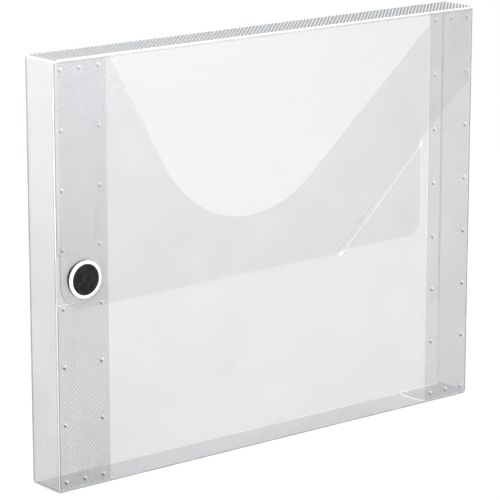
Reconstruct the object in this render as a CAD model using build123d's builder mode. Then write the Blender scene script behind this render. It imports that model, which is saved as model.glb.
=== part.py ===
from build123d import *
import os
from math import cos, radians, sin, tan

# A flat carrying case for papers, cut and folded from translucent plastic sheet.
# It stands on its bottom: X runs along the front, Y from front to back, Z up.
# The origin is the centre of the underside.

# Closed case, outside sizes
case_width = 318.0
case_depth = 28.0
case_height = 250.0

# Sheet, its pressed folds and the clearances between layers
sheet = 0.75
fold_radius = 0.9
fold_web = 0.35
fold_tail = 0.3
edge_gap = 0.3
flap_gap = 0.5
rim_gap = 1.0

# End strips, bottom tabs and their weld spots
strip_width = 36.0
strip_foot = 1.0
tab_length = 36.0
tab_corner = 3.0
weld_rows = 8
weld_margin = 6.0
weld_inset = 5.0
weld_radius = 1.4
weld_top_radius = 0.9
weld_height = 0.2

# Hand cut in the front panel: two straight sides and a round bottom.
# It starts beside the left strip at the rim and ends at the right strip, this far down.
cut_left_angle = 60.3
cut_left_start = 2.7
cut_right_angle = 40.4
cut_right_drop = 8.0
cut_bottom_radius = 70.0

# Slanted slot for the tongue: its middle from the right strip and from the top
slot_angle = 42.8
slot_from_strip = 38.0
slot_drop = 111.5
slot_length = 89.0
slot_clearance = 0.45

# Flap: drops are measured down from the top of the case
flap_inset = 2.3
flap_drop_left = 143.0
flap_drop_right = 138.8
flap_corner = 15.0
flap_tip_drop = 45.2
flap_tip_radius = 4.0
flap_bend_from_end = 23.0
flap_bend_drop = 60.4
flap_bend_radius = 60.0

# Tongue at the flap's lower right corner, and the neck beside its slot
tongue_from_strip = 5.0
tongue_corner = 9.5
tongue_shoulder_drop = 88.0
neck_from_strip = 8.6
neck_drop = 79.1
neck_radius = 2.0
tongue_slope = 36.0
tongue_bend_radius = 2.0
tongue_gap = 0.3

# Press snap
snap_reach = 18.0
snap_drop = 126.0
notch_radius = 13.75
notch_corner = 2.5
cap_radius = 11.0
cap_base = 1.5
cap_face_radius = 9.0
cap_face = 0.9
cap_edge = 0.3
ring_gap = 0.05
post_radius = 2.0
post_gap = 0.2
stud_flange_radius = 6.0
stud_flange = 0.4
stud_radius = 3.8
stud_tip_radius = 3.3
stud_length = 2.2
snap_gap = 0.4
socket_flange_radius = 7.5
socket_flange = 0.4
socket_wall = 0.8
socket_depth = 2.2
socket_hole_gap = 0.1
plate_radius = 9.0
plate_rim = 0.9
plate_floor = 0.6

# Planes of the layers, from front to back
flap_front = -case_depth / 2
flap_back = flap_front + sheet
strip_front = flap_back + flap_gap
strip_back = strip_front + sheet
panel_front = strip_back
panel_back = panel_front + sheet
back_outer = case_depth / 2
back_inner = back_outer - sheet
left_outer = -case_width / 2
right_outer = case_width / 2

# Edges beside the folds, and heights
fold_edge = fold_radius + fold_tail
hinge_tail = fold_radius + edge_gap
top_inner = case_height - sheet
rim_height = top_inner - rim_gap
end_foot = sheet + fold_edge
hinge_height = case_height - fold_radius
flap_top = hinge_height - hinge_tail
snap_height = case_height - snap_drop
strip_reach = case_width - strip_width

os.makedirs("parts", exist_ok=True)


def from_left(reach):
    """X of a point that lies this far from the case's left end."""
    return left_outer + reach


def save(builder, name):
    """Label a finished piece and write it."""
    builder.part.label = name
    export_step(builder.part, "parts/" + name + ".step")


def front_plane(y):
    """Upright plane at depth y: its X is along the case, its Y is up."""
    return Plane.XZ.offset(-y)


def upright_plate(name, y, x_range, z_range):
    """Rectangular panel one sheet thick whose front face is at y."""
    with BuildPart() as plate:
        with BuildSketch(front_plane(y)):
            with Locations((sum(x_range) / 2, sum(z_range) / 2)):
                Rectangle(x_range[1] - x_range[0], z_range[1] - z_range[0])
        extrude(amount=-sheet)
    save(plate, name)


def level_plate(name, z, x_range, y_range):
    """Rectangular panel one sheet thick whose underside is at z."""
    with BuildPart() as plate:
        with BuildSketch(Plane.XY.offset(z)):
            with Locations((sum(x_range) / 2, sum(y_range) / 2)):
                Rectangle(x_range[1] - x_range[0], y_range[1] - y_range[0])
        extrude(amount=sheet)
    save(plate, name)


def end_plate(name, x, y_range, z_range):
    """Rectangular end panel one sheet thick, from x towards +X."""
    with BuildPart() as plate:
        with BuildSketch(Plane.YZ.offset(x)):
            with Locations((sum(y_range) / 2, sum(z_range) / 2)):
                Rectangle(y_range[1] - y_range[0], z_range[1] - z_range[0])
        extrude(amount=sheet)
    save(plate, name)


def folded_edge(name, axis_point, out_a, out_b, run, tail_a=fold_tail, tail_b=fold_tail):
    """Pressed fold between two panels that face out_a and out_b.

    axis_point is the middle of the fold's axis and run is its length. Each tail
    lies flush with the outer face of its panel and ends at that panel's edge.
    """
    inner_radius = fold_radius - fold_web
    plane = Plane(origin=axis_point, x_dir=out_a, z_dir=Vector(out_a).cross(Vector(out_b)))
    with BuildPart() as fold:
        with BuildSketch(plane):
            with BuildLine():
                outer = CenterArc((0, 0), fold_radius, 0, 90)
                inner = CenterArc((0, 0), inner_radius, 0, 90)
                Polyline(outer @ 0, (fold_radius, -tail_a), (inner_radius, -tail_a), inner @ 0)
                Polyline(outer @ 1, (-tail_b, fold_radius), (-tail_b, inner_radius), inner @ 1)
            make_face()
        extrude(amount=run / 2, both=True)
    save(fold, name)


# Back, bottom and the two ends
upright_plate(
    "back_panel",
    back_inner,
    (left_outer + fold_edge, right_outer - fold_edge),
    (fold_edge, hinge_height - fold_tail),
)
level_plate("bottom_panel", 0, (left_outer, right_outer), (panel_front + fold_edge, back_outer - fold_edge))
end_depths = (strip_front + fold_edge, back_outer - fold_edge)
end_heights = (end_foot, rim_height)
end_plate("left_end_panel", left_outer, end_depths, end_heights)
end_plate("right_end_panel", right_outer - sheet, end_depths, end_heights)

# Folds of the tray: two along the bottom, four at the upright corners
upright_run = rim_height - end_foot
upright_middle = (rim_height + end_foot) / 2
panel_half = right_outer - sheet - edge_gap
left_axis = left_outer + fold_radius
right_axis = right_outer - fold_radius
back_axis = back_outer - fold_radius
strip_axis = strip_front + fold_radius
back_run = 2 * (right_outer - fold_edge)
folded_edge("back_bottom_fold", (0, back_axis, fold_radius), (0, 1, 0), (0, 0, -1), back_run)
folded_edge(
    "front_bottom_fold", (0, panel_front + fold_radius, fold_radius), (0, -1, 0), (0, 0, -1), 2 * panel_half
)
folded_edge("left_back_fold", (left_axis, back_axis, upright_middle), (-1, 0, 0), (0, 1, 0), upright_run)
folded_edge("right_back_fold", (right_axis, back_axis, upright_middle), (1, 0, 0), (0, 1, 0), upright_run)

# The snap's notch runs out through the rounded face of the left front fold
inner_radius = fold_radius - fold_web
with BuildPart() as left_front_fold:
    with BuildSketch(Plane.XY.offset(end_foot)):
        with BuildLine():
            outer_arc = CenterArc((left_axis, strip_axis), fold_radius, 180, 90)
            inner_arc = CenterArc((left_axis, strip_axis), inner_radius, 180, 90)
            end_tail = strip_axis + fold_tail
            strip_tail = left_axis + fold_tail
            inner_x = left_axis - inner_radius
            inner_y = strip_axis - inner_radius
            Polyline(outer_arc @ 0, (left_outer, end_tail), (inner_x, end_tail), inner_arc @ 0)
            Polyline(outer_arc @ 1, (strip_tail, strip_front), (strip_tail, inner_y), inner_arc @ 1)
        make_face()
    extrude(amount=upright_run)
    with BuildSketch(front_plane(strip_axis)):
        with Locations((left_axis, snap_height)):
            Rectangle(4 * fold_edge, 2 * notch_radius)
    extrude(amount=2 * fold_radius, mode=Mode.SUBTRACT)
save(left_front_fold, "left_front_fold")
folded_edge("right_front_fold", (right_axis, strip_axis, upright_middle), (1, 0, 0), (0, -1, 0), upright_run)

# Bottom tabs: each end panel turns in over the bottom
tab_depths = (panel_back + edge_gap, back_inner - edge_gap)
tab_middle = sum(tab_depths) / 2
tab_axis = sheet + fold_radius
for side, name in ((-1, "left"), (1, "right")):
    root = side * (right_outer - fold_edge)
    tip = side * (right_outer - tab_length)
    with BuildPart() as tab:
        with BuildSketch(Plane.XY.offset(sheet)):
            with Locations(((root + tip) / 2, tab_middle)):
                Rectangle(abs(root - tip), tab_depths[1] - tab_depths[0])
        extrude(amount=sheet)
        free_corners = tab.edges().filter_by(Axis.Z).sort_by_distance((tip, tab_middle, sheet))[:2]
        chamfer(free_corners, tab_corner)
    save(tab, name + "_bottom_tab")
    folded_edge(
        name + "_tab_fold",
        (side * right_axis, tab_middle, tab_axis),
        (side, 0, 0),
        (0, 0, -1),
        tab_depths[1] - tab_depths[0],
    )

# Front strips: each end panel turns in over the front panel and is welded to it
strip_heights = (strip_foot, rim_height)
with BuildPart() as left_front_strip:
    with BuildSketch(front_plane(strip_front)):
        with Locations((from_left((fold_edge + strip_width) / 2), sum(strip_heights) / 2)):
            Rectangle(strip_width - fold_edge, strip_heights[1] - strip_heights[0])
        with Locations((from_left(snap_reach), snap_height)):
            Circle(notch_radius, mode=Mode.SUBTRACT)
        with Locations((from_left(snap_reach / 2), snap_height)):
            Rectangle(snap_reach, 2 * notch_radius, mode=Mode.SUBTRACT)
    extrude(amount=-sheet)
    notch_edges = left_front_strip.edges().filter_by(Axis.Y).group_by(Axis.X)[0]
    fillet(notch_edges.sort_by(Axis.Z)[1:3], notch_corner)
save(left_front_strip, "left_front_strip")
upright_plate(
    "right_front_strip", strip_front, (right_outer - strip_width, right_outer - fold_edge), strip_heights
)

# Weld spots: two columns on each strip, with one more between them in the end rows.
# A row that would meet the snap's notch is left out.
weld_pitch = (case_height - 2 * weld_margin) / (weld_rows - 1)
for side, name in ((-1, "left"), (1, "right")):
    outer_column = side * (right_outer - weld_inset)
    inner_column = side * (right_outer - strip_width + weld_inset)
    weld_places = []
    for row in range(weld_rows):
        height = weld_margin + row * weld_pitch
        columns = [outer_column, inner_column]
        if row in (0, weld_rows - 1):
            columns.append((outer_column + inner_column) / 2)
        if side > 0 or abs(height - snap_height) > notch_radius + weld_radius:
            weld_places += [(column, height) for column in columns]
    with BuildPart() as welds:
        weld_plane = front_plane(strip_front)
        with Locations(*[weld_plane * Location((x, z, weld_height / 2)) for x, z in weld_places]):
            Cone(weld_radius, weld_top_radius, weld_height)
    save(welds, name + "_weld_spots")

# Tongue's path: from the flap's plane, through the slot, to the plane behind the front panel
flap_middle = (flap_front + flap_back) / 2
panel_middle = (panel_front + panel_back) / 2
tongue_middle = panel_back + tongue_gap + sheet / 2
slope = tan(radians(tongue_slope))
bend_start = (flap_middle - panel_middle) / slope
bend_end = (tongue_middle - panel_middle) / slope
tongue_root = bend_start - 2 * tongue_bend_radius * tan(radians(tongue_slope / 2))
crossing = sheet * (1 + 1 / cos(radians(tongue_slope))) / slope
slot_width = crossing + 2 * slot_clearance
slot_middle = (from_left(strip_reach - slot_from_strip), case_height - slot_drop)

# Front panel: hand cut from above, slanted slot, hole for the snap's socket
cut_top = rim_height + sheet
left_slope = tan(radians(cut_left_angle))
right_slope = tan(radians(cut_right_angle))
cut_left_top = strip_width + cut_left_start
cut_right_meet = case_height - cut_right_drop
valley_reach = (cut_top - cut_right_meet + left_slope * cut_left_top + right_slope * strip_reach) / (
    left_slope + right_slope
)
valley_height = cut_top - left_slope * (valley_reach - cut_left_top)
socket_bore_radius = stud_radius + snap_gap
socket_radius = socket_bore_radius + socket_wall
with BuildPart() as front_panel:
    with BuildSketch(front_plane(panel_front)):
        with Locations((0, (fold_edge + rim_height) / 2)):
            Rectangle(2 * panel_half, rim_height - fold_edge)
        with BuildLine():
            FilletPolyline(
                (from_left(cut_left_top), cut_top),
                (from_left(valley_reach), valley_height),
                (from_left(strip_reach), cut_right_meet),
                (from_left(strip_reach), cut_top),
                radius=[cut_bottom_radius, fold_edge],
            )
            Line((from_left(strip_reach), cut_top), (from_left(cut_left_top), cut_top))
        make_face(mode=Mode.SUBTRACT)
        with Locations(Location(slot_middle, slot_angle)):
            SlotCenterToCenter(slot_length, slot_width, mode=Mode.SUBTRACT)
        with Locations((from_left(snap_reach), snap_height)):
            Circle(socket_radius + socket_hole_gap, mode=Mode.SUBTRACT)
    extrude(amount=-sheet)
save(front_panel, "front_panel")

# Lid: top panel and the two folds that it swings on
level_plate(
    "top_panel", top_inner, (left_outer, right_outer), (flap_front + fold_edge, back_axis - hinge_tail)
)
folded_edge(
    "lid_hinge_fold", (0, back_axis, hinge_height), (0, 1, 0), (0, 0, 1), back_run, tail_b=hinge_tail
)
folded_edge(
    "flap_hinge_fold",
    (0, flap_front + fold_radius, hinge_height),
    (0, -1, 0),
    (0, 0, 1),
    2 * (right_outer - flap_inset),
    tail_a=hinge_tail,
)


# Outline of the whole flap with its tongue: reach from the left, height, corner radius
tongue_reach = strip_reach - tongue_from_strip
neck = (strip_reach - neck_from_strip, case_height - neck_drop)
flap_corners = [
    (flap_inset, flap_top, 0),
    (flap_inset, case_height - flap_drop_left, flap_corner),
    (tongue_reach, case_height - flap_drop_right, tongue_corner),
    (tongue_reach, case_height - tongue_shoulder_drop, tongue_corner),
    (*neck, neck_radius),
    (case_width - flap_bend_from_end, case_height - flap_bend_drop, flap_bend_radius),
    (case_width - flap_inset, case_height - flap_tip_drop, flap_tip_radius),
    (case_width - flap_inset, flap_top, 0),
]
with BuildSketch(front_plane(flap_front)) as flap_outline:
    with BuildLine():
        outline_points = [(from_left(x), z) for x, z, _ in flap_corners]
        outline_radii = [r for _, _, r in flap_corners]
        FilletPolyline(outline_points, radius=outline_radii, close=True)
    make_face()

# The tongue is the outline's corner beyond its root line, as far along the slot as the neck
slot_cos = cos(radians(slot_angle))
slot_sin = sin(radians(slot_angle))
neck_along = (from_left(neck[0]) - slot_middle[0]) * slot_cos + (neck[1] - slot_middle[1]) * slot_sin

with BuildPart() as front_flap:
    extrude(flap_outline.sketch, amount=-sheet)
    with BuildSketch(front_plane(flap_front)):
        with Locations(Location(slot_middle, slot_angle)):
            with Locations((neck_along, -tongue_root)):
                Rectangle(2 * slot_length, slot_length, align=(Align.MAX, Align.MAX))
        with Locations((from_left(snap_reach), snap_height)):
            Circle(post_radius + post_gap)
    extrude(amount=-sheet, mode=Mode.SUBTRACT)
save(front_flap, "front_flap")

across_slot = (slot_sin, 0, -slot_cos)
along_slot = (slot_cos, 0, slot_sin)
slot_centre = (slot_middle[0], panel_middle, slot_middle[1])
tongue_plane = Plane(origin=slot_centre, x_dir=across_slot, z_dir=along_slot)
with BuildPart() as flap_tongue:
    with BuildSketch(tongue_plane.offset(neck_along)):
        with BuildLine():
            FilletPolyline(
                (tongue_root, flap_middle - panel_middle),
                (bend_start, flap_middle - panel_middle),
                (bend_end, tongue_middle - panel_middle),
                (slot_length, tongue_middle - panel_middle),
                radius=tongue_bend_radius,
            )
        trace(line_width=sheet)
    extrude(amount=-2 * slot_length)
    extrude(flap_outline.sketch, amount=-case_depth / 2, mode=Mode.INTERSECT)
save(flap_tongue, "flap_tongue")

# Press snap: cap, ring and stud on the flap, socket and back plate on the front panel
snap_plane = Plane(
    origin=(from_left(snap_reach), flap_front, snap_height), x_dir=(1, 0, 0), z_dir=(0, -1, 0)
)


def turned(name, profile, rim_radius=0):
    """Round snap piece turned from a closed half profile of (radius, height) points.

    rim_radius rounds the outer edge of its front face.
    """
    with BuildPart() as piece:
        with BuildSketch(Plane.XZ):
            with BuildLine():
                Polyline(profile, close=True)
            make_face()
        revolve(axis=Axis.Z)
        if rim_radius:
            fillet(piece.edges().group_by(Axis.Z)[-1].sort_by(SortBy.RADIUS)[-1], rim_radius)
    placed = snap_plane.location * piece.part
    placed.label = name
    export_step(placed, "parts/" + name + ".step")


cap_height = cap_base + cap_face
post_end = -(sheet + stud_flange)
turned(
    "snap_cap",
    [
        (0, post_end),
        (post_radius, post_end),
        (post_radius, 0),
        (cap_radius, 0),
        (cap_radius, cap_base),
        (cap_face_radius, cap_base),
        (cap_face_radius, cap_height),
        (0, cap_height),
    ],
    rim_radius=cap_edge / 2,
)
turned(
    "snap_ring",
    [
        (cap_face_radius + ring_gap, cap_base),
        (cap_radius, cap_base),
        (cap_radius, cap_height),
        (cap_face_radius + ring_gap, cap_height),
    ],
    rim_radius=cap_edge,
)
stud_front = -sheet
turned(
    "snap_stud",
    [
        (post_radius, stud_front),
        (stud_flange_radius, stud_front),
        (stud_flange_radius, stud_front - stud_flange),
        (stud_radius, stud_front - stud_flange),
        (stud_radius, stud_front - stud_length),
        (stud_tip_radius, stud_front - stud_length - stud_flange),
        (0, stud_front - stud_length - stud_flange),
        (0, post_end),
        (post_radius, post_end),
    ],
)
socket_face = flap_front - panel_front
turned(
    "snap_socket",
    [
        (socket_bore_radius, socket_face + socket_flange),
        (socket_flange_radius, socket_face + socket_flange),
        (socket_flange_radius, socket_face),
        (socket_radius, socket_face),
        (socket_radius, socket_face - socket_depth),
        (socket_bore_radius, socket_face - socket_depth),
    ],
)
plate_face = flap_front - panel_back
plate_inside = socket_face - socket_depth
turned(
    "snap_back_plate",
    [
        (0, plate_inside),
        (socket_radius, plate_inside),
        (socket_radius, plate_face),
        (plate_radius, plate_face),
        (plate_radius, plate_face - plate_rim),
        (socket_radius + plate_rim, plate_inside - plate_floor),
        (0, plate_inside - plate_floor),
    ],
)
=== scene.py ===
"""Looks of a flat carrying case for papers, folded from translucent plastic sheet.

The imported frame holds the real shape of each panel, fold and snap piece. This script
gives them their finishes, and makes the pieces that need a finer shape than the frame
has: the two hinge folds that bend when the case opens, and the weld spots.
"""

import logging
import math
from collections.abc import Iterable, Sequence
from dataclasses import dataclass, field
from enum import Enum

import bmesh
import bpy
from mathutils import Euler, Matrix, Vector

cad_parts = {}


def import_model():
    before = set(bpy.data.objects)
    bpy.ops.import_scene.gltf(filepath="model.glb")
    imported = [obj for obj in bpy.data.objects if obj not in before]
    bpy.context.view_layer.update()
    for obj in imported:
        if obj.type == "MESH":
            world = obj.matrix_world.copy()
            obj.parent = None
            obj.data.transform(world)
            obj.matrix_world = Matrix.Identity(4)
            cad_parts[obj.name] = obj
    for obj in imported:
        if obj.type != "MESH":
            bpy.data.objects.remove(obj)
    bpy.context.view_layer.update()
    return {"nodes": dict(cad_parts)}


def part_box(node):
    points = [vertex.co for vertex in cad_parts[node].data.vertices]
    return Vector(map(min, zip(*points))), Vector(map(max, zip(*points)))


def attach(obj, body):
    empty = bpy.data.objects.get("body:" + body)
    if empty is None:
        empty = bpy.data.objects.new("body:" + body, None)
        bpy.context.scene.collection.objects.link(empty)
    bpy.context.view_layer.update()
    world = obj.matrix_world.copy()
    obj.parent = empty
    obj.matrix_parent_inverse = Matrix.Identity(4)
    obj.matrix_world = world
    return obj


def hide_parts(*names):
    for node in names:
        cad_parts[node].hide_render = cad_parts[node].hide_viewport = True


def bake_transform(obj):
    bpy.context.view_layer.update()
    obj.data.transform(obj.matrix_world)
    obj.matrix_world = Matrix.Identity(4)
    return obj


LOG = logging.getLogger("file_case")
MM = 0.001
UP = (0, 0, 1)
SHEET_IOR = 1.49
SHARP_CORNER = math.radians(40)
Colour = tuple[float, float, float]
Socket = bpy.types.NodeSocket


class Body(Enum):
    """The three bodies of the case: the tray, its lid, and the flap on the lid."""

    TRAY = "tray"
    LID = "lid"
    FLAP = "flap"


class Slot(Enum):
    """Material slots of the record that the new pieces take."""

    FOLD = "pressed_fold"
    WELD = "weld"


class Lie(Enum):
    """How a panel of the folded blank lies: outward direction, then slope of its ribs.

    The ribs run at 45 degrees across the flat blank, so on each folded panel their
    slope is the direction, in the panel's own plane, in which their height rises.
    """

    FRONT = ((0, -1, 0), (1, 0, -1))
    BACK = ((0, 1, 0), (1, 0, 1))
    TOP = ((0, 0, 1), (1, -1, 0))
    BOTTOM = ((0, 0, -1), (1, 1, 0))
    LEFT = ((-1, 0, 0), (0, 1, 1))
    RIGHT = ((1, 0, 0), (0, 1, -1))


class Bench:
    """Node tree of a material or of the world, with a short call for each kind of node."""

    def __init__(self, owner: bpy.types.Material | bpy.types.World) -> None:
        """Empties the node tree.

        Args:
            owner: the material or the world that the tree belongs to.
        """
        owner.use_nodes = True
        self.tree = owner.node_tree
        self.tree.nodes.clear()

    def node(self, kind: str, **settings: object) -> bpy.types.Node:
        """Adds a node.

        Args:
            kind: Blender's name of the node type.
            settings: attributes to set on it.

        Returns:
            The new node.
        """
        made = self.tree.nodes.new(kind)
        for key, value in settings.items():
            setattr(made, key, value)
        return made

    def feed(self, socket: Socket, value: object) -> None:
        """Links value to socket if it is a socket itself, and else sets it there.

        Args:
            socket: where the value goes.
            value: a number, a colour or a socket.
        """
        if isinstance(value, Socket):
            self.tree.links.new(value, socket)
        else:
            socket.default_value = value

    def math(self, operation: str, *values: object, clamp: bool = False) -> Socket:
        """Does one sum.

        Args:
            operation: Blender's name of the operation.
            values: one to three numbers or sockets.
            clamp: keeps the result between 0 and 1.

        Returns:
            The result's socket.
        """
        made = self.node("ShaderNodeMath", operation=operation, use_clamp=clamp)
        for socket, value in zip(made.inputs, values):
            self.feed(socket, value)
        return made.outputs[0]

    def along(self, vector: Socket, direction: Sequence[float]) -> Socket:
        """Measures a vector along a fixed direction.

        Args:
            vector: the vector's socket.
            direction: the direction.

        Returns:
            The socket of the length.
        """
        made = self.node("ShaderNodeVectorMath", operation="DOT_PRODUCT")
        self.feed(made.inputs[0], vector)
        made.inputs[1].default_value = direction
        return made.outputs["Value"]

    def step(
        self, value: Socket, low: float, high: float, to_low: float = 0.0, to_high: float = 1.0
    ) -> Socket:
        """Eases from one number to another as value passes from low to high.

        Args:
            value: the number that decides.
            low: where the change begins.
            high: where the change ends.
            to_low: result at and below low.
            to_high: result at and above high.

        Returns:
            The result's socket.
        """
        made = self.node("ShaderNodeMapRange", interpolation_type="SMOOTHSTEP")
        for name, number in (("From Min", low), ("From Max", high), ("To Min", to_low), ("To Max", to_high)):
            made.inputs[name].default_value = number
        self.feed(made.inputs["Value"], value)
        return made.outputs["Result"]

    def noise(self, place: Socket, pitch: float, detail: float) -> Socket:
        """Cloudy pattern between 0 and 1, mostly between 0.3 and 0.7.

        Args:
            place: coordinates in metres.
            pitch: rough size of one cloud in millimetres.
            detail: number of finer layers.

        Returns:
            The pattern's socket.
        """
        made = self.node("ShaderNodeTexNoise")
        self.feed(made.inputs["Vector"], place)
        made.inputs["Scale"].default_value = 1 / (pitch * MM)
        made.inputs["Detail"].default_value = detail
        return made.outputs["Fac"]

    def vary(self, pattern: Socket, low: float, high: float) -> Socket:
        """Turns a cloudy pattern into numbers from low to high."""
        return self.step(pattern, 0.3, 0.7, low, high)

    def blend(self, share: object, first: object, second: object) -> Socket:
        """Mixes two colours.

        Args:
            share: how much of the second one, from 0 to 1.
            first: a colour or a socket.
            second: a colour or a socket.

        Returns:
            The mixed colour's socket.
        """
        made = self.node("ShaderNodeMix", data_type="RGBA")
        self.feed(made.inputs[0], share)
        for socket, value in ((made.inputs[6], first), (made.inputs[7], second)):
            self.feed(socket, value if isinstance(value, Socket) else (*value, 1.0))
        return made.outputs[2]

    def bump(self, height: Socket, distance: float) -> Socket:
        """Turns a height pattern into a surface direction.

        Args:
            height: the pattern.
            distance: height in millimetres where the pattern is 1.

        Returns:
            The normal's socket.
        """
        made = self.node("ShaderNodeBump")
        made.inputs["Strength"].default_value = 1.0
        made.inputs["Distance"].default_value = distance * MM
        self.feed(made.inputs["Height"], height)
        return made.outputs["Normal"]

    def mix(self, share: object, first: Socket, second: Socket) -> Socket:
        """Mixes two shaders.

        Args:
            share: how much of the second one, from 0 to 1.
            first: a shader's socket.
            second: a shader's socket.

        Returns:
            The mixed shader's socket.
        """
        made = self.node("ShaderNodeMixShader")
        for socket, value in zip(made.inputs, (share, first, second)):
            self.feed(socket, value)
        return made.outputs[0]

    def plastic(self, **values: object) -> bpy.types.Node:
        """Adds the main shader.

        Args:
            values: what its sockets are set to or linked with, by name.

        Returns:
            The new node.
        """
        made = self.node("ShaderNodeBsdfPrincipled")
        for name, value in values.items():
            socket = made.inputs[name.replace("_", " ").title().replace("Ior", "IOR")]
            if name == "base_color" and not isinstance(value, Socket):
                value = (*value, 1.0)
            self.feed(socket, value)
        return made

    def show(self, shader: Socket, output: str = "ShaderNodeOutputMaterial") -> None:
        """Connects the shader to an output node of the given type."""
        self.tree.links.new(shader, self.node(output).inputs["Surface"])


@dataclass(frozen=True)
class RibFade:
    """Ribs that get fainter towards a line across the sheet.

    Attributes:
        direction: direction across that line.
        middle: the line's place along the direction, in millimetres.
        near: distance from the line up to which the ribs are faintest.
        far: distance from which they show in full.
        least: share that is left at the line.
        level: height that the faint ribs even out to, from 0 to 1.
    """

    direction: tuple[float, float, float]
    middle: float
    near: float
    far: float
    least: float
    level: float = 0.48

    def soften(self, bench: Bench, place: Socket, rib: Socket) -> Socket:
        """Evens out the faint part of the ribs.

        Args:
            bench: the material's node tree.
            place: coordinates in metres.
            rib: the pattern of ribs in full.

        Returns:
            The pattern with its faint part.
        """
        offset = bench.math("SUBTRACT", bench.along(place, self.direction), self.middle * MM)
        share = bench.step(bench.math("ABSOLUTE", offset), self.near * MM, self.far * MM, self.least, 1.0)
        return bench.math("MULTIPLY_ADD", bench.math("SUBTRACT", rib, self.level), share, self.level)


@dataclass(frozen=True)
class SheetFinish:
    """Translucent sheet with fine slanted ribs pressed into its outer face.

    Attributes:
        lie: how the panel lies.
        haze: share of light that one face stops, seen head on.
        slant_haze: how many times more it stops, seen along the sheet.
        rib_flat: extra haze of a rib, seen head on.
        rib_slant: extra haze of a rib, seen along the sheet.
        rib_fade: where the ribs get fainter.
        rib_pitch: distance from rib to rib in millimetres.
        rib_height: height of a rib in millimetres.
        rib_tint: colour of a rib's shaded side.
        joined: sides where the sheet runs on into a fold, so that no cut edge shows.
        edge_haze: share of light that the cut edge stops.
        edge_glow: painted glow of the cut edge, standing in for light piped there by the sheet.
        edge_tint: whitish colour of the cut edge's painted highlight, and the colour of its painted glow.
        bright: side whose cut edge gets more painted highlight and glow than the others, as if it caught
            more light.
        caught: share of painted highlight and glow on the side opposite to bright, and on bright itself.
        shaded: sides whose cut edge shows as a thin dark line of painted shade.
        shaded_top: height in millimetres above which it doesn't.
        shaded_haze: share of light that the dark line stops.
        shaded_tint: colour of the dark line, painted shade.
        rim: direction and distance in millimetres beyond which the sheet gets a painted highlight, white and
            glowing.
        seat: extra haze where the sheet is pressed flat round the snap.
        seat_reach: reach of that place from the snap's middle, in millimetres.
        cloudiness: share by which the haze varies from cloud to cloud.
        cloud_size: rough size of those clouds in millimetres.
        grain_size: rough size of the fine grain, in millimetres.
        tint: colour of the haze.
        sheen: strength of the reflections, seen head on and seen along the sheet.
        sheen_tint: colour of the reflections.
        sheen_blur: how much they are blurred, from 0 to 1.
    """

    lie: Lie
    haze: float = 0.08
    slant_haze: float = 2.2
    rib_flat: float = 0.02
    rib_slant: float = 0.15
    rib_fade: RibFade | None = None
    rib_pitch: float = 1.98
    rib_height: float = 0.02
    rib_tint: Colour = (0.48, 0.495, 0.515)
    joined: tuple[Lie, ...] = ()
    edge_haze: float = 0.30
    edge_glow: float = 0.25
    edge_tint: Colour = (0.93, 0.94, 0.95)
    bright: Lie | None = None
    caught: tuple[float, float] = (0.5, 2.6)
    shaded: tuple[Lie, ...] = ()
    shaded_top: float = 1000.0
    shaded_haze: float = 0.45
    shaded_tint: Colour = (0.05, 0.06, 0.06)
    rim: tuple[tuple[float, float, float], float] | None = None
    seat: float = 0.0
    seat_reach: float = 13.75
    cloudiness: float = 0.08
    cloud_size: float = 45.0
    grain_size: float = 0.6
    tint: Colour = (0.575, 0.59, 0.612)
    sheen: tuple[float, float] = (0.012, 0.35)
    sheen_tint: Colour = (0.95, 0.96, 0.97)
    sheen_blur: float = 0.22

    def ribs(self, bench: Bench, place: Socket, turn: Socket) -> Socket:
        """Makes the pattern of ribs.

        Args:
            bench: the material's node tree.
            place: coordinates in metres.
            turn: 1 on the outer face, -1 on the inner one.

        Returns:
            The ribs' height, from 0 to 1.
        """
        turns = 2 * math.pi / (self.rib_pitch * MM * math.sqrt(2))
        wave = bench.math("SINE", bench.along(place, Vector(self.lie.value[1]) * turns))
        rib = bench.step(wave, -0.5, 0.6)
        if self.rib_fade:
            rib = self.rib_fade.soften(bench, place, rib)
        return bench.math("MULTIPLY", rib, bench.step(turn, 0.1, 0.6))

    def cut_edge(self, bench: Bench, normal: Socket, turn: Socket) -> Socket:
        """Finds the sheet's cut edge.

        Args:
            bench: the material's node tree.
            normal: the direction that the surface faces.
            turn: 1 on the outer face, -1 on the inner one.

        Returns:
            1 on the cut edge, 0 on the faces and where the sheet runs on into a fold.
        """
        edge = bench.step(bench.math("ABSOLUTE", turn), 0.45, 0.80, 1.0, 0.0)
        for side in self.joined:
            seam = bench.step(bench.along(normal, side.value[0]), 0.5, 0.8, 1.0, 0.0)
            edge = bench.math("MULTIPLY", edge, seam)
        return edge

    def dark_line(self, bench: Bench, place: Socket, normal: Socket, edge: Socket) -> Socket:
        """Finds the part of the cut edge that gets painted shade, as a dark line.

        Args:
            bench: the material's node tree.
            place: coordinates in metres.
            normal: the direction that the surface faces.
            edge: 1 on the cut edge.

        Returns:
            1 on that part.
        """
        dark = 0.0
        for side in self.shaded:
            dark = bench.math("MAXIMUM", dark, bench.step(bench.along(normal, side.value[0]), 0.3, 0.6))
        height = bench.along(place, UP)
        low = bench.step(height, (self.shaded_top - 30) * MM, self.shaded_top * MM, 1.0, 0.0)
        return bench.math("MULTIPLY", bench.math("MULTIPLY", edge, dark), low)

    def lit_edge(self, bench: Bench, place: Socket, normal: Socket, edge: Socket) -> Socket:
        """Finds how much painted highlight and glow each part of the cut edge gets.

        Args:
            bench: the material's node tree.
            place: coordinates in metres.
            normal: the direction that the surface faces.
            edge: 1 on the cut edge.

        Returns:
            The share of edge_glow there.
        """
        if self.bright:
            share = bench.step(bench.along(normal, self.bright.value[0]), -0.3, 0.5, *self.caught)
            return bench.math("MULTIPLY", edge, share)
        if self.rim:
            direction, distance = self.rim
            # Painted highlight: a white glowing band beyond the rim's distance.
            painted_white_band = bench.step(bench.along(place, direction), distance * MM, (distance + 0.3) * MM)
            return bench.math("MAXIMUM", edge, painted_white_band)
        return edge

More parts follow.
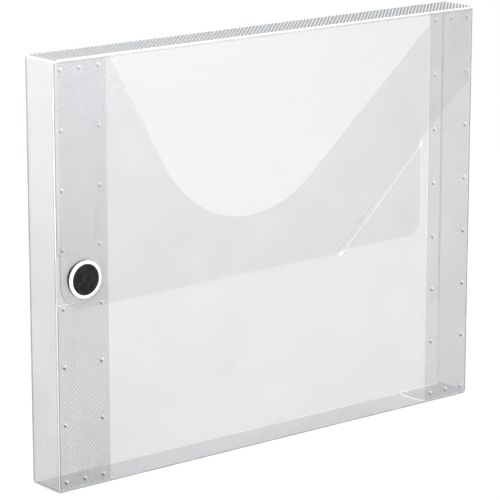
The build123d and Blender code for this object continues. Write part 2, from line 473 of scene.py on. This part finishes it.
    def seat_mask(self, bench: Bench, place: Socket) -> Socket:
        """Finds where the sheet is pressed flat round the snap.

        Args:
            bench: the material's node tree.
            place: coordinates in metres.

        Returns:
            1 there and 0 elsewhere.
        """
        low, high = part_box("snap_cap")
        middle = (low + high) / 2
        beyond = bench.math("SUBTRACT", bench.along(place, (1, 0, 0)), middle.x)
        above = bench.math("SUBTRACT", bench.along(place, UP), middle.z)
        beyond = bench.math("MAXIMUM", beyond, 0.0)
        square = bench.math("MULTIPLY_ADD", above, above, bench.math("MULTIPLY", beyond, beyond))
        reach = self.seat_reach * MM
        return bench.step(bench.math("SQRT", square), reach - 0.25 * MM, reach, 1.0, 0.0)

    def material(self, name: str) -> bpy.types.Material:
        """Builds the material.

        Args:
            name: the material's name.

        Returns:
            The finished material.
        """
        material = bpy.data.materials.new(name)
        bench = Bench(material)
        texture = bench.node("ShaderNodeTexCoord").outputs
        place, normal = texture["Object"], texture["Normal"]
        facing = bench.node("ShaderNodeLayerWeight").outputs["Facing"]
        slant = bench.math("POWER", facing, 3.0)
        turn = bench.along(normal, self.lie.value[0])
        rib = self.ribs(bench, place, turn)
        edge = self.cut_edge(bench, normal, turn)
        grain = bench.noise(place, self.grain_size, 2.0)
        cloud = bench.noise(place, self.cloud_size, 4.0)

        plain = bench.vary(cloud, self.haze * (1 - self.cloudiness), self.haze * (1 + self.cloudiness))
        haze = bench.math("MULTIPLY_ADD", bench.math("MULTIPLY", slant, plain), self.slant_haze, plain)
        rib_haze = bench.math("MULTIPLY_ADD", slant, self.rib_slant, self.rib_flat)
        haze = bench.math("MULTIPLY_ADD", rib, rib_haze, haze)
        if self.seat:
            haze = bench.math("MULTIPLY_ADD", self.seat_mask(bench, place), self.seat, haze)
        colour = bench.blend(rib, self.tint, self.rib_tint)
        # Painted shade: the cut edges facing the shaded sides turn into a dark line.
        if self.shaded:
            dark = self.dark_line(bench, place, normal, edge)
            edge = bench.math("SUBTRACT", edge, dark)
            haze = bench.math("MULTIPLY_ADD", dark, self.shaded_haze, haze)
            colour = bench.blend(dark, colour, self.shaded_tint)
        # Painted highlight: the lit part of the cut edge turns whiter, hazier and glows.
        lit = self.lit_edge(bench, place, normal, edge)

        bumps = bench.bump(bench.math("MULTIPLY_ADD", grain, 0.15, rib), self.rib_height)
        skin = bench.plastic(
            base_color=bench.blend(lit, colour, self.edge_tint),
            roughness=bench.vary(grain, 0.30, 0.42),
            ior=SHEET_IOR,
            alpha=bench.math("MULTIPLY_ADD", lit, self.edge_haze, haze, clamp=True),
            normal=bumps,
            emission_color=(*self.edge_tint, 1.0),
            emission_strength=bench.math("MULTIPLY", lit, self.edge_glow),
        )
        gloss = bench.node("ShaderNodeBsdfAnisotropic")
        gloss.inputs["Color"].default_value = (*self.sheen_tint, 1.0)
        gloss.inputs["Roughness"].default_value = self.sheen_blur
        bench.feed(gloss.inputs["Normal"], bumps)
        head_on, along = self.sheen
        shine = bench.math("MULTIPLY_ADD", bench.math("POWER", facing, 5.0), along, head_on)
        bench.show(bench.mix(shine, skin.outputs[0], gloss.outputs[0]))
        return material


@dataclass(frozen=True)
class FoldFinish:
    """Pressed fold: the sheet is whitened and glossy along the middle of the crease, where a painted
    highlight glows, and one side can carry painted shade.

    Attributes:
        sides: lies of the two panels that the fold joins.
        haze: share of light that one face of the fold stops beside the crease line.
        base: colour of the fold beside the crease line.
        line_haze: extra haze on the crease line.
        tint: colour of the crease line, partly its whitening and partly painted highlight.
        glow: painted glow of the crease line, standing in for light piped there by the sheet.
        dots: share by which the ribs that meet the fold break up its line.
        spacing: spacing of the ribs along the fold in millimetres.
        shade: extra haze on the part that faces the second panel's way, as painted shade.
        shade_tint: colour of that painted shade.
        foot: height in millimetres below which the line dies out, or 0.
        cloudiness: share by which the haze varies from place to place.
    """

    sides: tuple[Lie, Lie]
    haze: float = 0.08
    base: Colour = (0.50, 0.53, 0.54)
    line_haze: float = 0.35
    tint: Colour = (0.88, 0.90, 0.91)
    glow: float = 0.35
    dots: float = 0.0
    spacing: float = 2.8
    shade: float = 0.0
    shade_tint: Colour = (0.18, 0.21, 0.21)
    foot: float = 0.0
    cloudiness: float = 0.15

    def material(self, name: str) -> bpy.types.Material:
        """Builds the material.

        Args:
            name: the material's name.

        Returns:
            The finished material.
        """
        material = bpy.data.materials.new(name)
        bench = Bench(material)
        texture = bench.node("ShaderNodeTexCoord").outputs
        place, normal = texture["Object"], texture["Normal"]
        first, second = (Vector(side.value[0]) for side in self.sides)
        middle = bench.math("ABSOLUTE", bench.along(normal, (first + second).normalized()))
        line = bench.step(middle, 0.80, 0.92)
        run = Vector([1 - abs(a) - abs(b) for a, b in zip(first, second)])
        wave = bench.math("SINE", bench.along(place, run * (2 * math.pi / (self.spacing * MM))))
        line = bench.math("MULTIPLY", line, bench.step(wave, -0.4, 0.4, 1.0 - self.dots, 1.0))
        if self.foot:
            shown = bench.step(bench.along(place, UP), (self.foot - 50) * MM, self.foot * MM)
            line = bench.math("MULTIPLY", line, shown)
        # Painted shade on the part that faces the second panel's way.
        side = bench.step(bench.along(normal, second), 0.86, 0.96)
        cloud = bench.noise(place, 9.0, 3.0)
        haze = bench.vary(cloud, self.haze * (1 - self.cloudiness), self.haze * (1 + self.cloudiness))
        haze = bench.math("MULTIPLY_ADD", line, self.line_haze, haze)
        haze = bench.math("MULTIPLY_ADD", side, self.shade, haze)
        colour = bench.blend(line, self.base, self.tint)
        shaded = bench.math("MULTIPLY", side, min(1.0, 4 * self.shade))
        # The crease line's colour is partly painted highlight, and it gets a painted glow.
        skin = bench.plastic(
            base_color=bench.blend(shaded, colour, self.shade_tint),
            roughness=bench.vary(cloud, 0.16, 0.28),
            ior=SHEET_IOR,
            alpha=haze,
            normal=bench.bump(cloud, 0.01),
            emission_color=(*self.tint, 1.0),
            emission_strength=bench.math("MULTIPLY", line, self.glow),
        )
        bench.show(skin.outputs[0])
        return material


# Dark fold that gives off no light; its dark colour is painted shade. Only on the front bottom fold does its
# pale line show.
DARK_FOLD = FoldFinish((Lie.FRONT, Lie.BOTTOM), haze=0.34, base=(0.13, 0.16, 0.16), line_haze=0.0, glow=0.0)


@dataclass(frozen=True)
class WeldFinish:
    """Small melted spot: glassy, with a grey pit, and painted light on it: a dark crescent of painted shade
    and a bright, glowing rim of painted highlight.

    Attributes:
        rim_tint: colour of the painted highlight on the rim and pit, on the side towards the light.
        pit_tint: colour of the painted shade in the pit and beside the rim, on the side away from the light.
        rim_haze: share of light that the rim stops.
        pit_haze: share of light that the pit stops.
        glow: painted glow of the highlighted rim, standing in for light piped there by the sheet.
        bold: height in millimetres up to which the spots show in full.
        faint: height from which they show least.
        least: share of them that shows there.
    """

    rim_tint: Colour = (0.92, 0.94, 0.95)
    pit_tint: Colour = (0.05, 0.06, 0.06)
    rim_haze: float = 0.75
    pit_haze: float = 0.70
    glow: float = 0.32
    bold: float = 70.0
    faint: float = 130.0
    least: float = 0.5

    def material(self, name: str) -> bpy.types.Material:
        """Builds the material.

        Args:
            name: the material's name.

        Returns:
            The finished material.
        """
        material = bpy.data.materials.new(name)
        bench = Bench(material)
        place = bench.node("ShaderNodeTexCoord").outputs["Object"]
        pit = bench.node("ShaderNodeAttribute", attribute_name="pit").outputs["Fac"]
        grain = bench.noise(place, 0.5, 2.0)
        # The pit attribute holds painted light: rim is the painted highlight, dark the painted shade.
        rim = bench.step(pit, -0.9, -0.1, 1.0, 0.0)
        dark = bench.step(pit, 0.1, 0.9)
        rim_haze = bench.math("MULTIPLY", rim, self.rim_haze)
        seen = bench.math("MAXIMUM", rim_haze, bench.math("MULTIPLY", dark, self.pit_haze))
        shown = bench.step(bench.along(place, UP), self.bold * MM, self.faint * MM, 1.0, self.least)
        seen = bench.math("MULTIPLY", seen, shown)
        skin = bench.plastic(
            base_color=bench.blend(dark, self.rim_tint, self.pit_tint),
            roughness=bench.vary(grain, 0.08, 0.20),
            ior=SHEET_IOR,
            alpha=bench.math("ADD", seen, bench.vary(grain, 0.04, 0.10)),
            normal=bench.bump(grain, 0.03),
            emission_color=(*self.rim_tint, 1.0),
            emission_strength=bench.math("MULTIPLY", rim, self.glow),
        )
        bench.show(skin.outputs[0])
        return material


@dataclass(frozen=True)
class SnapFinish:
    """Moulded plastic of the press snap.

    Attributes:
        tint: main colour.
        mottle: colour of the faint cloudy patches.
        roughness: shine, from 0 for polished to 1 for dull.
        grain: height of the fine moulded grain in millimetres.
        gloss: strength of the reflections.
        glow: painted glow, standing in for light scattered through the plastic from behind.
    """

    tint: Colour
    mottle: Colour
    roughness: float
    grain: float
    gloss: float = 0.5
    glow: float = 0.0

    def material(self, name: str) -> bpy.types.Material:
        """Builds the material.

        Args:
            name: the material's name.

        Returns:
            The finished material.
        """
        material = bpy.data.materials.new(name)
        bench = Bench(material)
        place = bench.node("ShaderNodeTexCoord").outputs["Object"]
        cloud = bench.noise(place, 2.5, 4.0)
        grain = bench.noise(place, 0.25, 2.0)
        skin = bench.plastic(
            base_color=bench.blend(bench.step(cloud, 0.35, 0.65), self.tint, self.mottle),
            roughness=bench.vary(cloud, self.roughness, self.roughness + 0.12),
            ior=1.5,
            specular_ior_level=self.gloss,
            emission_color=(*self.tint, 1.0),
            emission_strength=self.glow,
            normal=bench.bump(grain, self.grain),
        )
        bench.show(skin.outputs[0])
        return material


def mesh_piece(name: str, points: Iterable[Vector], faces: Iterable[Sequence[int]]) -> bpy.types.Object:
    """Makes a closed mesh piece, smooth except at sharp corners.

    Args:
        name: the piece's name.
        points: corner points in metres, in the frame.
        faces: corner numbers of each face.

    Returns:
        The new object, linked into the scene.
    """
    mesh = bpy.data.meshes.new(name)
    mesh.from_pydata([tuple(p) for p in points], [], [tuple(f) for f in faces])
    shape = bmesh.new()
    shape.from_mesh(mesh)
    bmesh.ops.recalc_face_normals(shape, faces=shape.faces)
    shape.to_mesh(mesh)
    shape.free()
    mesh.shade_smooth()
    mesh.set_sharp_from_angle(angle=SHARP_CORNER)
    piece = bpy.data.objects.new(name, mesh)
    bpy.context.scene.collection.objects.link(piece)
    return piece


@dataclass
class FoldedBlank:
    """The sheet itself: panels, strips, tabs and the folds that stay still.

    Attributes:
        panels: finish of each panel, strip and tab, by node.
        folds: finish of each fold that never moves, by node.
    """

    panels: dict[str, SheetFinish] = field(
        default_factory=lambda: {
            "back_panel": SheetFinish(Lie.BACK, haze=0.055, rib_flat=0.01, edge_haze=0.0, edge_glow=0.0),
            "bottom_panel": SheetFinish(Lie.BOTTOM, haze=0.125, joined=(Lie.FRONT, Lie.BACK)),
            "front_panel": SheetFinish(
                Lie.FRONT,
                haze=0.125,
                rib_flat=0.065,
                rib_fade=RibFade((-0.7, 0, 0.7), 0.0, 200.0, 240.0, 0.2),
                joined=(Lie.BOTTOM,),
                edge_haze=0.45,
                edge_glow=0.40,
                # Painted highlight: the cut edges facing right are whiter and glow more.
                bright=Lie.RIGHT,
                seat=0.16,
            ),
            "left_end_panel": SheetFinish(
                Lie.LEFT,
                haze=0.23,
                rib_flat=0.012,
                rib_slant=0.0,
                joined=(Lie.FRONT, Lie.BACK, Lie.BOTTOM),
                # Painted highlight: a white glowing band along the top of the end panel.
                rim=(UP, 248.1),
            ),
            "right_end_panel": SheetFinish(Lie.RIGHT, joined=(Lie.FRONT, Lie.BACK, Lie.BOTTOM)),
            "left_front_strip": SheetFinish(
                Lie.FRONT,
                haze=0.152,
                rib_flat=0.16,
                rib_fade=RibFade(UP, 150.0, 30.0, 95.0, 0.12, level=0.60),
                joined=(Lie.LEFT,),
                edge_glow=0.15,
                # Painted shade: a dark line on the strip's cut edges that face down.
                shaded=(Lie.BOTTOM,),
            ),
            "right_front_strip": SheetFinish(
                Lie.FRONT, haze=0.143, rib_flat=0.055, joined=(Lie.RIGHT,), edge_haze=0.2, edge_glow=0.0
            ),
            # The bottom tabs' cut edges carry a strong painted glow.
            "left_bottom_tab": SheetFinish(
                Lie.TOP, haze=0.03, joined=(Lie.LEFT,), edge_haze=0.6, edge_glow=0.7
            ),
            "right_bottom_tab": SheetFinish(
                Lie.TOP, haze=0.03, joined=(Lie.RIGHT,), edge_haze=0.6, edge_glow=0.7
            ),
            "top_panel": SheetFinish(
                Lie.TOP,
                haze=0.03,
                rib_slant=2.0,
                rib_fade=RibFade((1, 0, 0), -450.0, 0.0, 700.0, 0.45, level=0.0),
                rib_tint=(0.17, 0.18, 0.19),
                joined=(Lie.FRONT, Lie.BACK),
            ),
            "front_flap": SheetFinish(
                Lie.FRONT,
                haze=0.10,
                rib_flat=0.004,
                joined=(Lie.TOP,),
                edge_haze=0.10,
                edge_glow=0.09,
                # Painted shade: a dark line on the flap's left and lower cut edges, below shaded_top.
                shaded=(Lie.LEFT, Lie.BOTTOM),
                shaded_top=165.0,
            ),
            # Painted shade: a dark line on the tongue's lower cut edge.
            "flap_tongue": SheetFinish(
                Lie.FRONT, haze=0.095, rib_flat=0.004, edge_haze=0.08, edge_glow=0.0, shaded=(Lie.BOTTOM,)
            ),
        }
    )
    folds: dict[str, FoldFinish] = field(
        default_factory=lambda: {
            # Strong painted glow on the crease line.
            "back_bottom_fold": FoldFinish((Lie.BACK, Lie.BOTTOM), line_haze=0.45, dots=0.6, glow=0.9),
            "front_bottom_fold": DARK_FOLD,
            "left_back_fold": DARK_FOLD,
            # Painted shade: the crease line is dark, dying out below the foot height.
            "right_back_fold": FoldFinish(
                (Lie.BACK, Lie.RIGHT), tint=(0.12, 0.14, 0.14), glow=0.0, dots=0.9, foot=90.0
            ),
            # Painted glow on the crease line, and painted shade on the part that faces front.
            "left_front_fold": FoldFinish((Lie.LEFT, Lie.FRONT), line_haze=0.22, glow=0.30, shade=0.32),
            "right_front_fold": DARK_FOLD,
            "left_tab_fold": DARK_FOLD,
            "right_tab_fold": DARK_FOLD,
        }
    )

    def dress(self, nodes: dict[str, bpy.types.Object]) -> list[bpy.types.Object]:
        """Gives each panel and fold its finish.

        Args:
            nodes: the frame's nodes by name.

        Returns:
            The dressed pieces.
        """
        for name, finish in {**self.panels, **self.folds}.items():
            nodes[name].material_slots[0].material = finish.material("sheet_" + name)
        return [nodes[name] for name in (*self.panels, *self.folds)]


@dataclass
class HingeFold:
    """Fold that bends as the case opens: a thin web between two panels.

    Lengths are in millimetres in the Y-Z plane, seen from the case's right end.

    Attributes:
        name: the new piece's name.
        node: the frame's node that it stands for.
        still: body at the web's start; not used.
        moving: body at its end; not used.
        sides: lies of the still and the moving panel.
        bend: distance of the fold's axis from the outer face of either panel.
        still_tail: straight length beside the still panel.
        moving_tail: straight length beside the moving panel.
        radius: outside radius of the fold.
        web: thickness of the web.
        groove: depth of the two creases near the bend's ends.
        crease_at: how far in from either end they lie, as a share of the bend.
        crease_width: how wide they are, as a share of the bend.
        blend_from: direction round the bend, in degrees, where the web starts to follow the moving body; not
            used.
        arc_steps: number of steps round the bend.
        tail_steps: number of steps along the moving tail.
        runs: number of steps along the fold.
    """

    name: str
    node: str
    still: Body
    moving: Body
    sides: tuple[Lie, Lie]
    bend: float = 0.9
    still_tail: float = 0.3
    moving_tail: float = 1.2
    radius: float = 0.9
    web: float = 0.35
    groove: float = 0.06
    crease_at: float = 0.1
    crease_width: float = 0.06
    blend_from: float = 27.0
    arc_steps: int = 14
    tail_steps: int = 12
    runs: int = 40

    def axis(self) -> Vector:
        """Measures the middle of the fold from its node's outer corner.

        Returns:
            Y and Z in millimetres.
        """
        low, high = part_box(self.node)
        outward = Vector(self.sides[0].value[0]) + Vector(self.sides[1].value[0])
        corner = high.y if outward.y > 0 else low.y
        return Vector((round(corner / MM - self.bend * outward.y, 3), round(high.z / MM - self.bend, 3)))

    def outline(self) -> list[tuple[float, float, float]]:
        """Steps along the web.

        Returns:
            For each step the direction in degrees, the offset along the web's own
            straight tail, and the depth of the crease there.
        """
        steps = [(0.0, -self.still_tail * (1 - k / 3), 0.0) for k in range(3)]
        creases = (self.crease_at, 1 - self.crease_at)
        for k in range(self.arc_steps + 1):
            share = k / self.arc_steps
            depth = self.groove * sum(math.exp(-(((share - at) / self.crease_width) ** 2)) for at in creases)
            steps.append((90.0 * share, 0.0, depth))
        steps += [(90.0, self.moving_tail * k / self.tail_steps, 0.0) for k in range(1, self.tail_steps + 1)]
        return steps

    def point(self, axis: Vector, turn: float, offset: float, radius: float) -> tuple[float, float]:
        """Point of the web's section.

        Args:
            axis: middle of the fold.
            turn: direction from the axis in degrees, counted from the still side.
            offset: distance along the tail, away from the bend.
            radius: distance from the axis before the offset.

        Returns:
            Y and Z in millimetres.
        """
        _, still_y, still_z = self.sides[0].value[0]
        angle = math.atan2(still_z, still_y) + math.radians(turn)
        out = Vector((math.cos(angle), math.sin(angle)))
        along = Vector((-out.y, out.x))
        spot = axis + out * radius + along * offset
        return spot.x, spot.y

    def build(self) -> bpy.types.Object:
        """Builds the web.

        Returns:
            The new piece.
        """
        axis = self.axis()
        steps = self.outline()
        section = [self.point(axis, turn, offset, self.radius - crease) for turn, offset, crease in steps]
        inside = self.radius - self.web
        section += [
            self.point(axis, turn, offset, inside + crease) for turn, offset, crease in reversed(steps)
        ]
        count = len(section)
        low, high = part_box(self.node)
        points = []
        for k in range(self.runs + 1):
            x = low.x + (high.x - low.x) * k / self.runs
            points += [Vector((x, y * MM, z * MM)) for y, z in section]
        last = self.runs * count
        faces: list[Sequence[int]] = [list(range(count)), list(range(last, last + count))]
        for k in range(self.runs):
            for j in range(count):
                a, b = k * count + j, k * count + (j + 1) % count
                faces.append((a, b, b + count, a + count))
        piece = mesh_piece(self.name, points, faces)
        # The hinge's crease line gets a painted glow.
        finish = FoldFinish(self.sides, haze=0.30, line_haze=0.45, glow=0.5)
        piece.data.materials.append(finish.material(self.name + "_finish"))
        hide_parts(self.node)
        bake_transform(piece)
        return piece


@dataclass
class WeldSpots:
    """Spots where a strip is melted on to the front panel: a raised rim round a pit.

    Attributes:
        side: "left" or "right".
        profile: radius and height of the rim's section, from the pit's middle outwards.
        pit_radius: radius inside which the spot counts as pit.
        rim_radius: radius of the rim's top, where its painted bright and dark sides begin.
        lit_from: direction of the painted light, the side of a spot's painted highlight, in degrees from +X
            towards +Z.
        spokes: number of points round a spot.
        apart: least distance between two spots in millimetres.
        floor: height of the pit's middle above the strip's face, in millimetres.
        lean: share by which a rim is higher on one side.
        wobble: share by which its outline strays from round.
    """

    side: str
    profile: tuple[tuple[float, float], ...] = (
        (0.25, 0.035),
        (0.50, 0.045),
        (0.70, 0.085),
        (0.86, 0.160),
        (0.98, 0.195),
        (1.10, 0.185),
        (1.22, 0.120),
        (1.33, 0.045),
        (1.40, 0.0),
    )
    pit_radius: float = 0.72
    rim_radius: float = 1.05
    lit_from: float = 50.0
    spokes: int = 28
    apart: float = 5.0
    floor: float = 0.03
    lean: float = 0.10
    wobble: float = 0.04

    def pit_value(self, radius: float, angle: float) -> float:
        """Says how much painted highlight or painted shade a point of a spot gets.

        Args:
            radius: distance from the spot's middle in millimetres.
            angle: direction from the middle, from +X towards +Z.

        Returns:
            From -1 for painted highlight on the bright rim, over 0 for plain, to 1 for painted shade in the
            dark pit.
        """
        toward = math.cos(angle - math.radians(self.lit_from))
        if radius < self.pit_radius:
            return 1.0 if toward < 0.35 else -0.9
        if radius < self.rim_radius:
            return 0.2 - 1.2 * max(toward, 0.0)
        return -0.8 if toward > -0.2 else 0.75

    def centres(self, node: bpy.types.Object) -> list[Vector]:
        """Finds the middle of each spot on the strip.

        Args:
            node: the frame's node that holds the side's spots.

        Returns:
            The middles on the strip's face, from the foot up.
        """
        spots: list[list[Vector]] = []
        for vert in node.data.vertices:
            near = [spot for spot in spots if (spot[0] - vert.co).length < self.apart * MM]
            if near:
                near[0].append(vert.co)
            else:
                spots.append([vert.co])
        face_y = max(vert.co.y for vert in node.data.vertices)
        middles = []
        for spot in spots:
            across, up = [point.x for point in spot], [point.z for point in spot]
            middles.append(Vector(((min(across) + max(across)) / 2, face_y, (min(up) + max(up)) / 2)))
        return sorted(middles, key=lambda middle: (middle.z, middle.x))

    def spot_faces(self, first: int) -> list[Sequence[int]]:
        """Lists the faces of one spot.

        Args:
            first: number of its middle point, which the rings follow from the pit outwards.

        Returns:
            The corner numbers of each face.
        """
        faces: list[Sequence[int]] = []
        rings = len(self.profile)
        for k in range(self.spokes):
            after = (k + 1) % self.spokes
            faces.append((first, first + 1 + k, first + 1 + after))
            for ring in range(rings - 1):
                a = first + 1 + ring * self.spokes
                b = a + self.spokes
                faces.append((a + k, b + k, b + after, a + after))
        last = first + 1 + (rings - 1) * self.spokes
        faces.append([last + k for k in range(self.spokes)])
        return faces

    def build(self, nodes: dict[str, bpy.types.Object], finish: bpy.types.Material) -> bpy.types.Object:
        """Builds all the spots of one side as one piece.

        Args:
            nodes: the frame's nodes by name.
            finish: the weld material.

        Returns:
            The new piece.
        """
        node = self.side + "_weld_spots"
        points: list[Vector] = []
        faces: list[Sequence[int]] = []
        pits: list[float] = []
        outermost = self.profile[-1][0]
        for number, centre in enumerate(self.centres(nodes[node])):
            lean = self.lean * math.sin(2.4 * number)
            first = len(points)
            points.append(centre + Vector((0, -self.floor * MM, 0)))
            pits.append(1.0)
            for radius, height in self.profile:
                for k in range(self.spokes):
                    angle = 2 * math.pi * k / self.spokes
                    stray = self.wobble * math.sin(3 * angle + number) * (radius / outermost)
                    reach = radius * (1 + stray)
                    tall = height * (1 + lean * math.cos(angle + number))
                    across, up = math.cos(angle) * reach, math.sin(angle) * reach
                    points.append(centre + Vector((across, -tall, up)) * MM)
                    pits.append(self.pit_value(radius, angle))
            faces += self.spot_faces(first)
        piece = mesh_piece(self.side + "_welds", points, faces)
        # The pit attribute carries each spot's painted highlight and painted shade.
        piece.data.attributes.new("pit", "FLOAT", "POINT").data.foreach_set("value", pits)
        piece.data.materials.append(finish)
        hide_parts(node)
        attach(piece, Body.TRAY.value)
        return piece


@dataclass
class PressSnap:
    """Round press snap: black cap and working parts, white ring round the cap's face.

    Attributes:
        black_nodes: nodes of the black pieces.
        ring_node: node of the white ring.
        black: finish of the black pieces.
        white: finish of the ring.
    """

    black_nodes: tuple[str, ...] = ("snap_cap", "snap_stud", "snap_socket", "snap_back_plate")
    ring_node: str = "snap_ring"
    black: SnapFinish = SnapFinish((0.005, 0.0055, 0.006), (0.022, 0.025, 0.026), 0.45, 0.008, gloss=0.2)
    # The white ring gets a painted glow.
    white: SnapFinish = SnapFinish((0.97, 0.97, 0.97), (0.95, 0.955, 0.955), 0.30, 0.003, glow=0.22)

    def dress(self, nodes: dict[str, bpy.types.Object]) -> list[bpy.types.Object]:
        """Gives the snap's pieces their finishes.

        Args:
            nodes: the frame's nodes by name.

        Returns:
            The dressed pieces.
        """
        black = self.black.material("snap_black_plastic")
        for name in self.black_nodes:
            nodes[name].material_slots[0].material = black
        nodes[self.ring_node].material_slots[0].material = self.white.material("snap_white_plastic")
        return [nodes[name] for name in (*self.black_nodes, self.ring_node)]


@dataclass(frozen=True)
class Lamp:
    """Square soft light.

    Attributes:
        name: the light's name.
        place: where it stands, in metres.
        target: the point that it faces.
        size: side length in metres.
        power: in watts.
        spread: full angle of its beam in degrees.
    """

    name: str
    place: tuple[float, float, float]
    target: tuple[float, float, float]
    size: float
    power: float
    spread: float = 180.0

    def hang(self) -> None:
        """Puts the light into the scene, out of the camera's sight."""
        data = bpy.data.lights.new(self.name, "AREA")
        data.shape = "SQUARE"
        data.size = self.size
        data.energy = self.power
        data.spread = math.radians(self.spread)
        light = bpy.data.objects.new(self.name, data)
        light.visible_camera = False
        light.location = self.place
        light.rotation_euler = (Vector(self.target) - Vector(self.place)).to_track_quat("-Z", "Y").to_euler()
        bpy.context.scene.collection.objects.link(light)


@dataclass
class Studio:
    """Camera, lights, floor and background.

    Attributes:
        eye: the camera's place in metres.
        yaw: its turn to the right of straight ahead, in degrees.
        pitch: its tilt below level, in degrees.
        lens: focal length in millimetres.
        lamps: the key light aimed at the case's top, a soft fill in front and one above.
        floor_radius: radius of the floor in metres.
        floor_sides: number of its straight sides.
        floor_drop: how far it lies below the case, in metres.
        floor_near: distance in metres within which the floor shows the case's shadow in full.
        floor_far: distance in metres beyond which it is plain white.
        floor_white: share of plain white in the floor near the case.
        floor_glow: strength of that white.
        sky: strength of the soft light from all round.
    """

    eye: tuple[float, float, float] = (-1.00274, -1.21932, 0.49910)
    yaw: float = 39.182
    pitch: float = 13.625
    lens: float = 195.45
    lamps: tuple[Lamp, ...] = (
        Lamp("key", (-0.72, -0.54, 0.62), (-0.06, 0, 0.31), 0.25, 0.80, spread=36),
        Lamp("fill", (0.1, -1.6, 1.1), (0, 0, 0.1), 1.0, 2.9),
        Lamp("top", (-0.62, 0.12, 0.72), (-0.15, 0, 0.25), 0.4, 2.0),
    )
    floor_radius: float = 8.0
    floor_sides: int = 64
    floor_drop: float = 0.0002
    floor_near: float = 0.35
    floor_far: float = 1.2
    floor_white: float = 0.72
    floor_glow: float = 1.24
    sky: float = 0.42

    def camera(self) -> None:
        """Sets up the camera at the photograph's viewing angle."""
        data = bpy.data.cameras.new("camera")
        data.lens = self.lens
        data.sensor_width = 36.0
        camera = bpy.data.objects.new("camera", data)
        camera.location = self.eye
        camera.rotation_euler = Euler((math.radians(90 - self.pitch), 0, math.radians(-self.yaw)))
        bpy.context.scene.collection.objects.link(camera)
        bpy.context.scene.camera = camera

    def seen_directly(self, bench: Bench) -> Socket:
        """Finds the rays that show the background, straight or by reflection.

        Args:
            bench: the node tree of the floor or the background.

        Returns:
            1 for those rays and 0 for the others.
        """
        path = bench.node("ShaderNodeLightPath").outputs
        either = bench.math("MAXIMUM", path["Is Camera Ray"], path["Is Glossy Ray"])
        return bench.math("MAXIMUM", either, path["Is Transmission Ray"])

    def floor(self) -> None:
        """Lays the pale floor, white to the camera but with the case's soft shadow."""
        turns = [2 * math.pi * k / self.floor_sides for k in range(self.floor_sides)]
        rim = [Vector((math.cos(turn), math.sin(turn), 0)) * self.floor_radius for turn in turns]
        floor = mesh_piece("floor", rim, [list(range(self.floor_sides))])
        floor.location.z = -self.floor_drop
        material = bpy.data.materials.new("pale_floor")
        bench = Bench(material)
        paper = bench.node("ShaderNodeBsdfDiffuse")
        paper.inputs["Color"].default_value = (0.86, 0.865, 0.87, 1.0)
        glow = bench.node("ShaderNodeEmission")
        length = bench.node("ShaderNodeVectorMath", operation="LENGTH")
        bench.feed(length.inputs[0], bench.node("ShaderNodeTexCoord").outputs["Object"])
        away = length.outputs["Value"]
        plain = bench.step(away, self.floor_near, self.floor_far, self.floor_white, 1.0)
        strength = bench.step(away, self.floor_near, self.floor_far, self.floor_glow, 1.0)
        bench.feed(glow.inputs["Strength"], strength)
        share = bench.math("MULTIPLY", self.seen_directly(bench), plain)
        bench.show(bench.mix(share, paper.outputs[0], glow.outputs[0]))
        floor.data.materials.append(material)

    def background(self) -> None:
        """Lights the room softly from all round, white where it is seen directly."""
        world = bpy.data.worlds.new("studio")
        bpy.context.scene.world = world
        bench = Bench(world)
        sky = bench.node("ShaderNodeBackground")
        bench.feed(sky.inputs["Strength"], bench.step(self.seen_directly(bench), 0, 1, self.sky, 1.0))
        bench.show(sky.outputs[0], "ShaderNodeOutputWorld")

    def set_up(self) -> None:
        """Builds the whole studio."""
        self.camera()
        for lamp in self.lamps:
            lamp.hang()
        self.floor()
        self.background()
        scene = bpy.context.scene
        scene.view_settings.view_transform = "Standard"
        scene.cycles.transparent_max_bounces = 64


def main() -> None:
    """Builds the case's pieces in order, dresses them and sets up the studio."""
    logging.basicConfig(level=logging.INFO, format="%(name)s: %(message)s")
    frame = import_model()
    nodes = frame["nodes"]

    pieces = FoldedBlank().dress(nodes)
    hinges = (
        HingeFold("lid_hinge_web", "lid_hinge_fold", Body.TRAY, Body.LID, (Lie.BACK, Lie.TOP)),
        HingeFold(
            "flap_hinge_web", "flap_hinge_fold", Body.LID, Body.FLAP, (Lie.TOP, Lie.FRONT), radius=0.87
        ),
    )
    pieces += [hinge.build() for hinge in hinges]
    weld = WeldFinish().material("weld_spot")
    pieces += [WeldSpots(side).build(nodes, weld) for side in ("left", "right")]
    pieces += PressSnap().dress(nodes)
    for piece in pieces:
        LOG.info("%s is ready, with %d faces", piece.name, len(piece.data.polygons))
    Studio().set_up()


if __name__ == "__main__":
    main()
